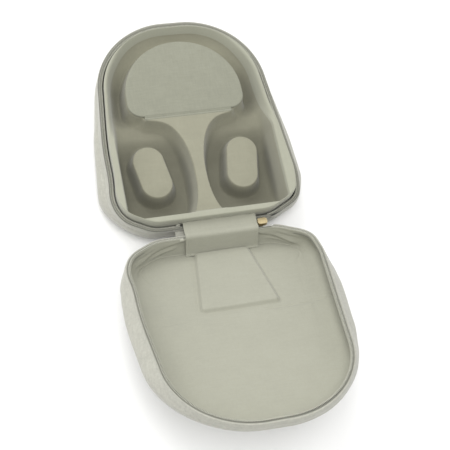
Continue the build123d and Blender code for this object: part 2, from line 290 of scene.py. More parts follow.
def capsules(name, spots, ways, ups, size, material, body, where):
    """Small rounded stitches. size is (length, width, thickness)."""
    rings, sides = 5, 6
    verts, faces = [], []
    for p, way, up in zip(spots, ways, ups):
        way = way / np.linalg.norm(way)
        side = np.cross(up, way)
        side /= np.linalg.norm(side)
        top = np.cross(way, side)
        start = len(verts)
        for a in range(rings):
            t = -1 + 2 * a / (rings - 1)
            wide = math.sqrt(max(0.0, 1 - abs(t) ** 3)) + 0.05
            for b in range(sides):
                ang = 2 * math.pi * b / sides
                verts.append(p + way * t * size[0] / 2 + side * math.cos(ang) * wide * size[1] / 2
                             + top * math.sin(ang) * wide * size[2] / 2)
        for a in range(rings - 1):
            for b in range(sides):
                c = (b + 1) % sides
                faces.append((start + a * sides + b, start + a * sides + c,
                              start + (a + 1) * sides + c, start + (a + 1) * sides + b))
        faces.append(tuple(start + b for b in reversed(range(sides))))
        faces.append(tuple(start + (rings - 1) * sides + b for b in range(sides)))
    return make(name, place(np.array(verts), where), faces, material, body, flip=where == "lid")


def tube(line, radius, sides):
    """Vertices and faces of a round tube that follows points."""
    line = np.asarray(line, float)
    d = np.gradient(line, axis=0)
    d /= np.linalg.norm(d, axis=1)[:, None]
    up = np.array([0, 0, 1.0])
    side = np.cross(d, up)
    bad = np.linalg.norm(side, axis=1) < 0.2
    side[bad] = np.cross(d[bad], np.array([1.0, 0, 0]))
    side /= np.linalg.norm(side, axis=1)[:, None]
    top = np.cross(side, d)
    ang = np.arange(sides) * 2 * math.pi / sides
    ring = side[:, None] * np.cos(ang)[None, :, None] + top[:, None] * np.sin(ang)[None, :, None]
    verts = (line[:, None] + ring * radius).reshape(-1, 3)
    faces = []
    for i in range(len(line) - 1):
        for b in range(sides):
            c = (b + 1) % sides
            faces.append((i * sides + b, i * sides + c, (i + 1) * sides + c, (i + 1) * sides + b))
    faces.append(tuple(reversed(range(sides))))
    faces.append(tuple((len(line) - 1) * sides + b for b in range(sides)))
    return verts, faces


# ------ materials
def nodes_of(name):
    m = bpy.data.materials.new(name)
    m.use_nodes = True
    tree = m.node_tree
    tree.nodes.clear()
    out = tree.nodes.new("ShaderNodeOutputMaterial")
    shader = tree.nodes.new("ShaderNodeBsdfPrincipled")
    tree.links.new(shader.outputs[0], out.inputs[0])
    return m, tree, shader


def noise(tree, coords, scale, detail=2.0, rough=0.5, stretch=None):
    n = tree.nodes.new("ShaderNodeTexNoise")
    n.inputs["Scale"].default_value = scale
    n.inputs["Detail"].default_value = detail
    n.inputs["Roughness"].default_value = rough
    if stretch:
        mapping = tree.nodes.new("ShaderNodeMapping")
        mapping.inputs["Scale"].default_value = stretch
        tree.links.new(coords, mapping.inputs["Vector"])
        coords = mapping.outputs[0]
    tree.links.new(coords, n.inputs["Vector"])
    return n.outputs["Fac"]


def math_node(tree, kind, a, b=None, c=None):
    n = tree.nodes.new("ShaderNodeMath")
    n.operation = kind
    for i, v in enumerate((a, b, c)):
        if v is None:
            continue
        if isinstance(v, (int, float)):
            n.inputs[i].default_value = v
        else:
            tree.links.new(v, n.inputs[i])
    return n.outputs[0]


def about(tree, value, amount, base):
    """base, moved by a value that lies about 0.5."""
    return math_node(tree, "MULTIPLY_ADD", math_node(tree, "SUBTRACT", value, 0.5), amount, base)


def relief(tree, shader, height, strength, distance):
    b = tree.nodes.new("ShaderNodeBump")
    b.inputs["Strength"].default_value = strength
    b.inputs["Distance"].default_value = distance
    tree.links.new(height, b.inputs["Height"])
    tree.links.new(b.outputs[0], shader.inputs["Normal"])


def lattice(tree, coords, pitch):
    """A plain weave that is the same in all three directions: over and under, about 1 high."""
    scaled = tree.nodes.new("ShaderNodeVectorMath")
    scaled.operation = "SCALE"
    scaled.inputs["Scale"].default_value = 2 * math.pi / pitch
    tree.links.new(coords, scaled.inputs[0])
    wave = tree.nodes.new("ShaderNodeVectorMath")
    wave.operation = "SINE"
    tree.links.new(scaled.outputs[0], wave.inputs[0])
    parts = tree.nodes.new("ShaderNodeSeparateXYZ")
    tree.links.new(wave.outputs[0], parts.inputs[0])
    turned = tree.nodes.new("ShaderNodeCombineXYZ")
    tree.links.new(parts.outputs[1], turned.inputs[0])
    tree.links.new(parts.outputs[2], turned.inputs[1])
    tree.links.new(parts.outputs[0], turned.inputs[2])
    dot = tree.nodes.new("ShaderNodeVectorMath")
    dot.operation = "DOT_PRODUCT"
    tree.links.new(wave.outputs[0], dot.inputs[0])
    tree.links.new(turned.outputs[0], dot.inputs[1])
    return dot.outputs["Value"]


def ramp(tree, fac, stops):
    n = tree.nodes.new("ShaderNodeValToRGB")
    e = n.color_ramp.elements
    while len(e) < len(stops):
        e.new(0.5)
    for el, (pos, col) in zip(e, stops):
        el.position = pos
        el.color = (*col, 1)
    tree.links.new(fac, n.inputs[0])
    return n.outputs[0]


def fabric(name, colour, spread=0.12, pitch=0.0011, weave=0.5, melange=0.0, rough=0.88, bump=0.00012, sheen=0.25,
           broad_share=1.0, deep=None):
    """Woven cloth: threads, two-tone melange, soft mottling and a dull sheen.

    deep=(low, high, share) darkens cloth low in a hollow: share is its tone at and under the height low, in metres,
    and 1 is reached at high. It stands in for shade that the lights here don't give."""
    m, tree, shader = nodes_of(name)
    coords = tree.nodes.new("ShaderNodeTexCoord").outputs["Object"]
    threads = lattice(tree, coords, pitch)
    fine = noise(tree, coords, 1400, 3.0, 0.6)
    slub_a = noise(tree, coords, 260, 2.0, 0.6, (0.35, 2.2, 2.2))
    slub_b = noise(tree, coords, 260, 2.0, 0.6, (2.2, 0.35, 2.2))
    mottle = noise(tree, coords, 55, 3.0, 0.55)
    broad = noise(tree, coords, 9, 2.0, 0.5)
    slubs = math_node(tree, "SUBTRACT", math_node(tree, "ADD", slub_a, slub_b), 1.0)
    tone = math_node(tree, "MULTIPLY_ADD", threads, 0.035 + 0.05 * melange, 0.5)
    tone = about(tree, fine, 0.55 + 1.2 * melange, tone)
    tone = math_node(tree, "MULTIPLY_ADD", slubs, 0.45 + 1.0 * melange, tone)
    tone = about(tree, mottle, 0.5 * broad_share, tone)
    tone = about(tree, broad, 0.45 * broad_share, tone)
    c = np.array(colour, float)
    dark, light = c * (1 - spread), np.minimum(c * (1 + spread), 0.95)
    warm = c * np.array([1.01, 1.0, 0.985])
    col = ramp(tree, tone, [(0.0, tuple(dark)), (0.5, tuple(warm)), (1.0, tuple(light))])
    if deep:
        parts = tree.nodes.new("ShaderNodeSeparateXYZ")
        tree.links.new(coords, parts.inputs[0])
        sunk = tree.nodes.new("ShaderNodeMapRange")
        sunk.interpolation_type = "SMOOTHSTEP"
        for k, v in enumerate((deep[0], deep[1], deep[2], 1.0)):
            sunk.inputs[1 + k].default_value = v
        tree.links.new(parts.outputs[2], sunk.inputs[0])
        uneven = about(tree, mottle, 0.10, sunk.outputs[0])
        shade = tree.nodes.new("ShaderNodeVectorMath")
        shade.operation = "SCALE"
        tree.links.new(col, shade.inputs[0])
        tree.links.new(uneven, shade.inputs["Scale"])
        col = shade.outputs[0]
    tree.links.new(col, shader.inputs["Base Color"])
    r = about(tree, fine, 0.18, rough)
    tree.links.new(r, shader.inputs["Roughness"])
    height = math_node(tree, "MULTIPLY_ADD", threads, 0.5 * weave, math_node(tree, "MULTIPLY", fine, 0.5))
    height = math_node(tree, "MULTIPLY_ADD", slubs, 0.35, height)
    relief(tree, shader, height, 0.55, bump)
    shader.inputs["Sheen Weight"].default_value = sheen
    shader.inputs["Sheen Roughness"].default_value = 0.5
    shader.inputs["Specular IOR Level"].default_value = 0.25
    return m


def metal(name, colour, rough=0.28):
    m, tree, shader = nodes_of(name)
    coords = tree.nodes.new("ShaderNodeTexCoord").outputs["Object"]
    grain = noise(tree, coords, 900, 3.0, 0.6, (0.4, 2.0, 2.0))
    worn = noise(tree, coords, 260, 3.0, 0.6)
    c = np.array(colour)
    col = ramp(tree, worn, [(0.25, tuple(c * 0.82)), (0.6, tuple(c)), (1.0, tuple(np.minimum(c * 1.12, 1)))])
    tree.links.new(col, shader.inputs["Base Color"])
    shader.inputs["Metallic"].default_value = 1.0
    r = about(tree, grain, 0.22, rough)
    tree.links.new(r, shader.inputs["Roughness"])
    relief(tree, shader, grain, 0.25, 0.00004)
    return m


def plastic(name, colour, rough=0.45, spread=0.1):
    m, tree, shader = nodes_of(name)
    coords = tree.nodes.new("ShaderNodeTexCoord").outputs["Object"]
    speck = noise(tree, coords, 700, 3.0, 0.6)
    patch = noise(tree, coords, 60, 2.0, 0.5)
    both = about(tree, patch, 0.7, speck)
    c = np.array(colour)
    col = ramp(tree, both, [(0.2, tuple(c * (1 - spread))), (0.8, tuple(np.minimum(c * (1 + spread), 1)))])
    tree.links.new(col, shader.inputs["Base Color"])
    r = about(tree, speck, 0.2, rough)
    tree.links.new(r, shader.inputs["Roughness"])
    relief(tree, shader, speck, 0.2, 0.00003)
    return m


OUTER = fabric("outer_melange", (0.394, 0.394, 0.345), spread=0.20, broad_share=0.12, melange=0.35, pitch=0.0012,
        bump=0.00018, sheen=0.3)
LINING = fabric("lid_lining_cloth", (0.345, 0.347, 0.286), spread=0.08, melange=0.05)
INSERT = fabric("insert_cloth", (0.280, 0.276, 0.210), spread=0.08, melange=0.05, deep=(0.012, 0.026, 0.60))
LIP = fabric("lip_cloth", (0.345, 0.350, 0.282), spread=0.08, melange=0.05)
FLAP = fabric("flap_cloth", (0.256, 0.261, 0.207), spread=0.12, melange=0.2)
TAPE = fabric("zip_tape_cloth", (0.215, 0.217, 0.185), spread=0.14, pitch=0.0008, melange=0.1, bump=0.0001)
COIL = plastic("coil_nylon", (0.56, 0.56, 0.48), 0.45)
GOLD = metal("pale_gold", (0.66, 0.55, 0.33), 0.42)
THREAD = plastic("sewing_thread", (0.36, 0.36, 0.30), 0.6)
RIBBON = fabric("pull_ribbon", (0.34, 0.335, 0.28), spread=0.14, pitch=0.0007, melange=0.15)

BOARD = plastic("board_grey", (0.2, 0.2, 0.19), 0.6)

# the CAD pieces that are shown as they are
for material, nodes in ((COIL, ("tray_top_stop", "lid_top_stop")), (BOARD, ("lid_board",)),
                        (GOLD, ("slider_body", "slider_crown", "pull_bail", "zip_bottom_stop"))):
    for node in nodes:
        frame["nodes"][node].data.materials.clear()
        frame["nodes"][node].data.materials.append(material)


# ------ how far the walls stand out
def shares():
    """For each point of the rim, how much it faces the hinge, the side and the far end."""
    near = np.maximum(0, -FACE[:, 1]) ** 1.5
    far = np.maximum(0, FACE[:, 1]) ** 1.5
    side = np.abs(FACE[:, 0]) ** 1.5
    total = near + far + side
    return near / total, side / total, far / total


W_NEAR, W_SIDE, W_FAR = shares()
CORNER_NEAR = 4 * (FACE[:, 0] * np.minimum(FACE[:, 1], 0)) ** 2
CORNER_FAR = 4 * (FACE[:, 0] * np.maximum(FACE[:, 1], 0)) ** 2
S = RIM_P[:, 1]


def wander(u, h, size):
    """Slow unevenness of a hand-sewn wall."""
    return size * (0.5 * np.sin(u / 31.0 + 1.3) * np.cos(h / 11.0) + 0.3 * np.sin(u / 13.7 + 0.4 + h / 9.0)
                   + 0.2 * np.sin(u / 7.1 + h / 5.0))


def outer_skin(name, keys, centre, where, body, stands_for, bottom, steps=4):
    prof = along(profile(keys, N), steps)
    mid = np.sin(np.linspace(0, math.pi, prof.shape[1]))[None, :]
    prof[..., 0] += wander(RIM_U[:, None], prof[..., 1], 0.35) * mid
    pts = ring_surface(RIM_P, RIM_N, prof)
    rows = pts.shape[1]
    verts = pts.reshape(-1, 3)
    faces = ring_faces(N, rows)
    ids = [i * rows + rows - 1 for i in range(N)]
    more, joined = cap(verts, ids, np.array([0, centre, 0.0]), 6, bottom, len(verts))
    verts = np.concatenate([verts, more])
    return make(name, place(verts, where), faces + joined, OUTER, body, flip=where != "lid",
                stands_for=stands_for)


# tray shell
left = RIM_P[:, 0] < 0
notch = smooth((RIM_P[:, 0] - 40) / 3) * smooth((60 - RIM_P[:, 0]) / 3) * smooth((12 - S) / 6)
lip_out = 2.95 - 2.3 * notch
side = np.where(left, curve_through([(0, 5), (22, 6), (50, 8.6), (105, 9.2), (130, 7.0), (165, 5.0), (224, 5)], S),
                curve_through([(0, 6), (30, 8.5), (60, 10.3), (85, 11), (105, 10), (130, 8.0), (165, 6.5), (224, 5.5)],
                S))
bt = 1.6 * W_NEAR + side * W_SIDE + 6.3 * W_FAR - 1.2 * CORNER_NEAR - 1.8 * CORNER_FAR
bt = bt - np.minimum(BOW, 0)
tuck = 3.4 * W_NEAR + 1.5 * CORNER_NEAR * np.where(left, 1.6, 0.8)
rise_far = 1.6 * W_FAR ** 0.7
tray_keys = [
    (lip_out - 0.75, -3.4), (lip_out - 0.62, -1.9), (lip_out - 0.15 + 0.4 * rise_far, -1.35),
    (lip_out + 0.05 + 0.6 * rise_far, -2.3), (lip_out + 0.16 * (bt - 2.2) + 0.5 * rise_far, -5.0),
    (2.2 + 0.42 * (bt - 2.2), -8.0), (2.2 + 0.8 * (bt - 2.2), -11.5), (bt - 0.1 - 0.1 * tuck, -16.0),
    (bt - 0.35 * tuck, -21.0), (bt - 0.9 - 0.8 * tuck, -27.0), (bt - 3.0 - 1.2 * tuck, -32.0),
    (bt - 6.5 - 1.2 * tuck, -35.8), (bt - 10.5 - 1.1 * tuck, -37.6), (bt - 16.0 - tuck, -38.0),
    (bt - 22.0 - tuck, -38.0),
]
tray_skin = outer_skin("tray_outer_fabric", tray_keys, 100.0, "tray", "tray", ["tray_shell"], lambda k: 0.0)

# lid wall and panel
side = np.where(left, curve_through([(0, 2.5), (25, 3.4), (45, 6.0), (65, 9.8), (88, 12.6), (140, 13.5), (165, 10.5),
        (195, 7.0), (224, 5)], S),
                curve_through([(0, 6), (20, 7), (40, 7.5), (62, 11.5), (80, 13), (125, 13), (155, 9.5), (175, 7.0),
                (224, 5)], S))
bl = 4.0 * W_NEAR + side * W_SIDE + 3.0 * W_FAR + CORNER_NEAR * np.where(left, -1.0, 2.2) - 0.4 * CORNER_FAR
bl = bl - np.minimum(BOW, 0)
# the far end is a low dome: its wall leans in more and more
dome = W_FAR
fold_in = 1.75 - 1.2 * notch
lid_keys = [
    (lip_out - fold_in - 0.1, -3.0), (lip_out - fold_in, -1.5), (lip_out - 0.75 * fold_in, -0.85),
    (lip_out - 0.3, -0.95), (lip_out + 0.05, -2.1), (lip_out + 0.3 * (bl - 2.2), -5.0), (2.2 + 0.62 * (bl - 2.2), -7.6),
    (2.2 + 0.88 * (bl - 2.2) - 0.6 * dome, -10.4), (bl - 3.6 * dome, -14.0),
    (bl - 0.4 - 7.2 * dome, -17.5), (bl - 1.9 - 10.6 * dome, -20.8), (bl - 3.9 - 12.6 * dome, -23.2),
    (bl - 4.9 - 13.2 * dome, -23.75),
]
lid_wall = along(profile(lid_keys, N), 4)
mid = np.sin(np.linspace(0, math.pi, lid_wall.shape[1]))[None, :]
lid_wall[..., 0] += wander(RIM_U[:, None] + 40, lid_wall[..., 1], 0.6) * mid
pts = ring_surface(RIM_P, RIM_N, lid_wall)
lid_skin = make("lid_wall_fabric", place(pts.reshape(-1, 3), "lid"), ring_faces(N, pts.shape[1]), OUTER, "lid",
                stands_for=["lid_side_wall"])
bp = bl - 13.2 * dome
panel_keys = [(bp - 4.9, -23.3), (bp - 4.4, -24.0), (bp - 5.0, -24.8), (bp - 7.5, -25.6), (bp - 12.0, -26.0),
        (bp - 20.0, -26.0)]
outer_skin("lid_panel_fabric", panel_keys, 105.0, "lid", "lid", ["lid_panel"], lambda k: -0.25 * (1 - k * k),
        4)


# ------ zips: tape, coil and its sewing line
def tape(name, where, body, node):
    cut = smooth((RIM_P[:, 0] - 41) / 4) * smooth((70 - RIM_P[:, 0]) / 8) * smooth((12 - S) / 6)
    out = 2.05 - 1.5 * cut
    low = 0.75 * (where == "lid")      # the lid's tape lies lower, so that the two rims can meet
    keys = [
        (out - 0.9, -8.0 - low), (out - 0.05 - low, -6.6 - low), (out + 0.05 - low, -4.2 - low),
        (out - low, -2.0 - low), (out - 0.2 - low, -1.0 - low), (0.72 * out - 0.3 - low, -0.72 - low),
        (0.35 * out - 0.2 - 0.6 * low, -0.95 - low), (-0.15 - 0.5 * low, -1.3 - low), (-1.0, -2.5 - low),
        (-1.75, -3.2 - low), (-1.7, -5.6),
    ]
    prof = along(profile(keys, N), 3)
    pts = ring_surface(RIM_P, RIM_N, prof)
    return make(name, place(pts.reshape(-1, 3), where), ring_faces(N, pts.shape[1]), TAPE, body, flip=where == "tray",
                stands_for=[node])


tape("tray_tape", "tray", "tray", "tray_zip_tape")
tape("lid_tape", "lid", "lid", "lid_zip_tape")


def rim_at(u):
    """Points and normals at distances along the rim."""
    f = (np.asarray(u) % RIM_TOTAL) / RIM_TOTAL * N
    i = np.floor(f).astype(int) % N
    t = (f - np.floor(f))[:, None]
    j = (i + 1) % N
    return RIM_P[i] * (1 - t) + RIM_P[j] * t, RIM_N[i] * (1 - t) + RIM_N[j] * t


COIL_START, COIL_END = 56.5, RIM_TOTAL - 30.6


def coil(name, where, body, node):
    pitch = 1.35
    turns = int((COIL_END - COIL_START) / pitch)
    per = 9
    t = np.arange(turns * per + 1) / per
    p, nrm = rim_at(COIL_START + t * pitch)
    ang = 2 * math.pi * t
    off = (-0.85 if where == "lid" else -1.02) + 0.72 * np.cos(ang)
    line = np.concatenate([p + nrm * off[:, None], ((-1.1 if where == "lid" else -1.45) + 0.55 * np.sin(ang))[:,
            None]], 1)
    verts, faces = tube(line, 0.27, 5)
    return make(name, place(verts, where), faces, COIL, body, flip=where == "lid", stands_for=[node])


coil("tray_coil", "tray", "tray", "tray_zip_coil")
coil("lid_coil", "lid", "lid", "lid_zip_coil")


def rim_stitches(name, where, body, off, height, step, size, material=THREAD):
    u = np.arange(COIL_START, COIL_END, step)
    p, nrm = rim_at(u)
    q, _ = rim_at(u + 0.5)
    ways = np.concatenate([q - p, np.zeros((len(u), 1))], 1)
    spots = np.concatenate([p + nrm * off, np.full((len(u), 1), height)], 1)
    ups = np.tile(np.array([0, 0, 1.0]), (len(u), 1))
    return capsules(name, spots, ways, ups, size, material, body, where)


rim_stitches("tray_tape_stitches", "tray", "tray", 1.05, -0.70, 2.6, (1.9, 0.36, 0.3))
rim_stitches("lid_tape_stitches", "lid", "lid", 1.75, -0.80, 2.6, (1.9, 0.36, 0.3))


# ------ tray insert
def dee_depth(x, s, edge=FLAP_EDGE):
    x = np.abs(x)
    c, mid = FLAP_HALF - FLAP_R, FLAP_ROUND
    low = np.minimum(FLAP_HALF - x, s - edge)
    low = np.where((x > c) & (s < edge + FLAP_R), FLAP_R - np.hypot(x - c, s - edge - FLAP_R), low)
    return np.where(s > mid, FLAP_HALF - np.hypot(x, s - mid), low)


LIP_HALF, LIP_NEAR, LIP_R = 79.0, 10.5, 6.5
LIP_LOW, LIP_RISE = 3.0, 7.0                  # height at the far end, and how much higher it stands at the wells
LIP_FALLS_FROM, LIP_FALLS_OVER = 92, 34
BRIDGE = [(0, 20), (11, 14.5), (16, 12.2), (24, 9.2), (33, 7.0), (44, 5.7), (56, 5.3), (68, 5.9), (80, 7.7),
        (91, 10.5), (100, 14.4), (107, 19.0), (112, 24.5), (115, 30.0), (117, 37.5), (118.4, 44.5), (119.3, 46.2),
        (121, 46.6)]
FLOOR = [(0, -23), (14, -24), (30, -29.5), (48, -32.5), (74, -32.0), (86, -28.0), (97, -22.6), (107, -18.6),
        (116, -18.2), (126, -22.0), (138, -26.4), (150, -26.4), (175, -20), (200, -14.3), (215, -12.8), (224, -12.8)]


def lip_standing(s):
    """1 where the lip stands high, 0 where it has sunk."""
    return 1 - smooth((s - LIP_FALLS_FROM) / LIP_FALLS_OVER)


def soft_max(a, b, r):
    """The larger of two heights, rounded over where they cross."""
    k = np.clip(0.5 + 0.5 * (a - b) / r, 0, 1)
    return b + (a - b) * k + r * k * (1 - k) * 0.5


def bridge_depth(x, s):
    """How far inside the bridge's outline a point is."""
    x = np.abs(x)
    line_s = np.linspace(-2, FLAP_EDGE + FOLD, 64)
    line_w = curve_through(BRIDGE, line_s)
    near = np.full(x.shape, 1e9)
    for x0, s0, x1, s1 in zip(line_w[:-1], line_s[:-1], line_w[1:], line_s[1:]):
        t = np.clip(((x - x0) * (x1 - x0) + (s - s0) * (s1 - s0)) / ((x1 - x0) ** 2 + (s1 - s0) ** 2), 0, 1)
        near = np.minimum(near, (x - x0 - t * (x1 - x0)) ** 2 + (s - s0 - t * (s1 - s0)) ** 2)
    inside = (x < curve_through(BRIDGE, s)) & (s < FLAP_EDGE + FOLD)
    return np.where(inside, 1, -1) * np.sqrt(near)


def insert_height(x, s):
    """The sculpted inside of the tray, as a height over the closing plane."""
    depth = rim_depth(x, s)
    floor = curve_through(FLOOR, s)
    isle = soft_max(bridge_depth(x, s), dee_depth(x, s, FLAP_EDGE + FOLD), 4.0)
    top = -2.1 - 2.05 * smooth((s - FLAP_EDGE + FOLD + 0.3) / 0.6)
    wide = 9.5 - 3.0 * smooth((s - 118) / 20)
    t = np.clip(-isle / wide, 0, 1)
    fall = 1 - (1 - t) ** 2.4
    fall = np.where(isle > 0, 0, fall) * smooth(-isle / 1.3 + 0.3)
    h = top + (floor - top) * fall
    for sign in (-1, 1):
        dx, ds = x - sign * BOSS_X, s - BOSS_AT
        a = -sign * BOSS_TURN
        px, ps = dx * math.cos(a) + ds * math.sin(a), -dx * math.sin(a) + ds * math.cos(a)
        run = (BOSS_L - BOSS_W) / 2
        d = BOSS_W / 2 - np.hypot(px, np.maximum(np.abs(ps) - run, 0))
        t = np.clip((1.2 - d) / 8.0, 0, 1)
        fall = (1 - (1 - t) ** 2.0) * smooth((1.2 - d) / 2.6)
        crown = 0.6 * smooth(d / 12)
        boss = -BOSS_TOP - 0.5 + crown + (floor + BOSS_TOP) * fall
        h = soft_max(h, boss, 2.0)
    # lip and wall
    lip = lip_standing(s)
    crest = LIP_LOW + LIP_RISE * lip
    d = well_depth_in(x, s)
    wall_a = curve_through([(-9, 0), (-1.9, 0), (-1.0, 0.045), (0, 0.2), (1.1, 0.5), (2.4, 0.76), (4.2, 0.92),
            (7, 0.985), (10, 1.0)], d)
    wall_b = curve_through([(-9, 0), (-5.2, 0), (-4.2, 0.07), (-2.2, 0.33), (0.8, 0.70), (5, 0.92), (8, 0.985),
            (11, 1.0)], d)
    g = wall_b + (wall_a - wall_b) * lip
    return crest + (h - crest) * g


def well_depth_in(x, s):
    """How far inside the lip's inner line a point is."""
    ax = np.abs(x)
    a, b, r = LIP_HALF - ax, s - LIP_NEAR, LIP_R
    near = np.where((a < r) & (b < r), r - np.hypot(r - a, r - b), np.minimum(a, b))
    far = rim_depth(x, s) - 11.0 + 2.5 * smooth((s - 180) / 35)
    return np.minimum(near, np.where(s > 60, far, near + (far - near) * smooth((s - 40) / 20) * (far < near)))


def grid_patch(inside, height, step, x0, x1, s0, s1):
    """A height field over the part of a rectangle where inside() holds."""
    xs = np.arange(x0, x1 + step, step)
    ss = np.arange(s0, s1 + step, step)
    gx, gs = np.meshgrid(xs, ss, indexing="ij")
    h = height(gx, gs)
    keep = inside(gx, gs)
    cells = keep[:-1, :-1] & keep[1:, :-1] & keep[1:, 1:] & keep[:-1, 1:]
    used = np.zeros(gx.shape, bool)
    used[:-1, :-1] |= cells
    used[1:, :-1] |= cells
    used[1:, 1:] |= cells
    used[:-1, 1:] |= cells
    number = np.full(gx.shape, -1)
    number[used] = np.arange(used.sum())
    i, j = np.nonzero(cells)
    faces = np.stack([number[i, j], number[i + 1, j], number[i + 1, j + 1], number[i, j + 1]], 1)
    verts = np.stack([gx[used], gs[used], h[used]], 1)
    return verts, [tuple(f) for f in faces]


STEP = 0.6
RING_END = 7.5
# outer rows: up the lip's outer face and over its top; inner rows follow the lip's inner line
crest = LIP_LOW + LIP_RISE * lip_standing(S)
outer_rows = [(-3.3, -6.0), (-3.25, -2.0), (-3.2, 0.0), (-3.15, None), (-3.25, None), (-3.5, None), (-3.95, None)]
drop = [0, 0, 0, 2.6, 1.3, 0.55, 0.12]
rows = []
for (off, hh), dd in zip(outer_rows, drop):
    top_h = crest - dd if hh is None else np.minimum(np.full(N, hh), crest - LIP_LOW + 0.2)
    rows.append(np.stack([np.full(N, off), top_h + 0 * S], -1))
wants = [-2.4, -1.9, -1.5, -1.1, -0.8, -0.5, -0.2, 0.1, 0.4, 0.7, 1.0, 1.4, 1.8, 2.3, 2.9, 3.6, 4.4, 5.4, 6.4, RING_END]
reach = np.arange(0, 42, 0.25)
at_x = RIM_P[:, :1] - RIM_N[:, :1] * reach
at_s = RIM_P[:, 1:] - RIM_N[:, 1:] * reach
inner_d = well_depth_in(at_x, at_s)
inner_d = np.maximum.accumulate(inner_d + reach * 1e-4, axis=1)
offs = np.stack([[np.interp(w, row, reach) for w in wants] for row in inner_d])
first = np.maximum(offs[:, 0], 4.8)
lead = [first * k + 4.4 * (1 - k) for k in (0.0, 0.35, 0.7)]
cols = lead + [np.maximum(offs[:, k], first + 0.15 * k) for k in range(len(wants))]
for d in cols:
    xy = RIM_P - RIM_N * d[:, None]
    rows.append(np.stack([-d, insert_height(xy[:, 0], xy[:, 1])], -1))
prof = np.stack(rows, 1)
lip_pts = ring_surface(RIM_P, RIM_N, prof)
lip_obj = make("insert_lip", place(lip_pts.reshape(-1, 3), "tray"), ring_faces(N, lip_pts.shape[1]), LIP, "tray",
        flip=True,
               stands_for=["tray_lip"])
lip_obj.data.materials.append(INSERT)
rows_all = lip_pts.shape[1]
turn_row = len(outer_rows) + len(lead) + 5
for i, f in enumerate(lip_obj.data.polygons):
    f.material_index = 1 if i % (rows_all - 1) >= turn_row else 0


def in_insert(x, s):
    return (well_depth_in(x, s) > RING_END - 2.2) & (dee_depth(x, s, FLAP_EDGE + FOLD) < 3.6)


def insert_floor(x, s):
    sink = 0.5 * smooth((RING_END - 0.5 - well_depth_in(x, s)) / 1.2)
    return insert_height(x, s) - 0.02 - sink


verts, faces = grid_patch(in_insert, insert_floor, STEP, -90, 90, 0, 224)
insert = make("insert_lining", place(verts, "tray"), faces, INSERT, "tray",
              stands_for=["tray_floor", "cable_tub", "ear_bridge", "ear_boss_left", "ear_boss_right"])

# the compartment under the flap
DP, DN, _, _ = sample(dee_path(FLAP_EDGE + FOLD), 320)
tub_keys = [(-2.2, -4.15), (-4.2, -4.1), (-5.4, -4.5), (-6.0, -5.6), (-6.2, -9), (-6.4, -15), (-6.8, -21), (-8.0, -25),
        (-10.5, -26.6), (-14, -27)]
prof = along(profile(tub_keys, len(DP)), 3)
pts = ring_surface(DP, DN, prof)
verts = pts.reshape(-1, 3)
rows_n = pts.shape[1]
more, joined = cap(verts, [i * rows_n + rows_n - 1 for i in range(len(DP))], np.array([0, 158.0, 0]), 6, lambda k: 0.0,
        len(verts))
make("cable_tub_lining", place(np.concatenate([verts, more]), "tray"), ring_faces(len(DP), rows_n) + joined,
        INSERT, "tray",
               flip=True)

# the flap: a board wrapped in cloth
flap_keys = [(-8, -4.0), (-2.0, -4.0), (-0.5, -3.9), (0.0, -3.45), (0.05, -2.7), (-0.15, -2.05), (-0.7, -1.65),
        (-2.0, -1.5), (-6.0, -1.42)]
prof = along(profile(flap_keys, len(DP)), 3)
pts = ring_surface(DP, DN, prof)
verts = pts.reshape(-1, 3)
rows_n = pts.shape[1]
more, joined = cap(verts, [i * rows_n + rows_n - 1 for i in range(len(DP))], np.array([0, 160.0, 0]), 10,
        lambda k: 0.5 * (1 - k * k), len(verts))
under, joined2 = cap(verts, [i * rows_n for i in range(len(DP))], np.array([0, 160.0, 0]), 4, lambda k: 0.0,
        len(verts) + len(more))
joined2 = [tuple(reversed(f)) for f in joined2]
flap_obj = make("cable_flap_cover", place(np.concatenate([verts, more, under]), "tray"),
        ring_faces(len(DP), rows_n) + joined + joined2,
                FLAP, "cable_cover", stands_for=["cable_flap"])


def cloth_strip(name, line, half, thick, material, where, wave=None, columns=60, shift=0.0):
    """A band of cloth through a bent line (s, h), closed all round, that runs across from -half to half."""
    line = np.asarray(line, float)
    smooth_line = along(line[None], 6)[0]
    d = np.gradient(smooth_line, axis=0)
    d /= np.linalg.norm(d, axis=1)[:, None]
    up = np.stack([-d[:, 1], d[:, 0]], 1)
    xs = np.linspace(-half, half, columns)
    k = len(smooth_line)
    verts, faces = [], []
    for x in xs:
        edge = smooth((half - abs(x)) / 0.5) * 0.35 + 0.65
        for sign in (1, -1):
            for q in range(k):
                lift = wave(x, q / (k - 1)) if wave else 0.0
                p = smooth_line[q] + up[q] * (sign * thick / 2 * edge + lift)
                verts.append((x + shift, p[0], p[1]))
    m = 2 * k

    def vid(i, side, q):
        return i * m + side * k + q
    for i in range(columns - 1):
        for q in range(k - 1):
            faces.append((vid(i, 0, q), vid(i + 1, 0, q), vid(i + 1, 0, q + 1), vid(i, 0, q + 1)))
            faces.append((vid(i, 1, q), vid(i, 1, q + 1), vid(i + 1, 1, q + 1), vid(i + 1, 1, q)))
        faces.append((vid(i, 0, 0), vid(i, 1, 0), vid(i + 1, 1, 0), vid(i + 1, 0, 0)))
        faces.append((vid(i, 0, k - 1), vid(i + 1, 0, k - 1), vid(i + 1, 1, k - 1), vid(i, 1, k - 1)))
    for q in range(k - 1):
        faces.append((vid(0, 0, q), vid(0, 0, q + 1), vid(0, 1, q + 1), vid(0, 1, q)))
        faces.append((vid(columns - 1, 0, q), vid(columns - 1, 1, q), vid(columns - 1, 1, q + 1),
                vid(columns - 1, 0, q + 1)))
    obj = make(name, place(np.array(verts), where), faces, material)
    return obj, smooth_line


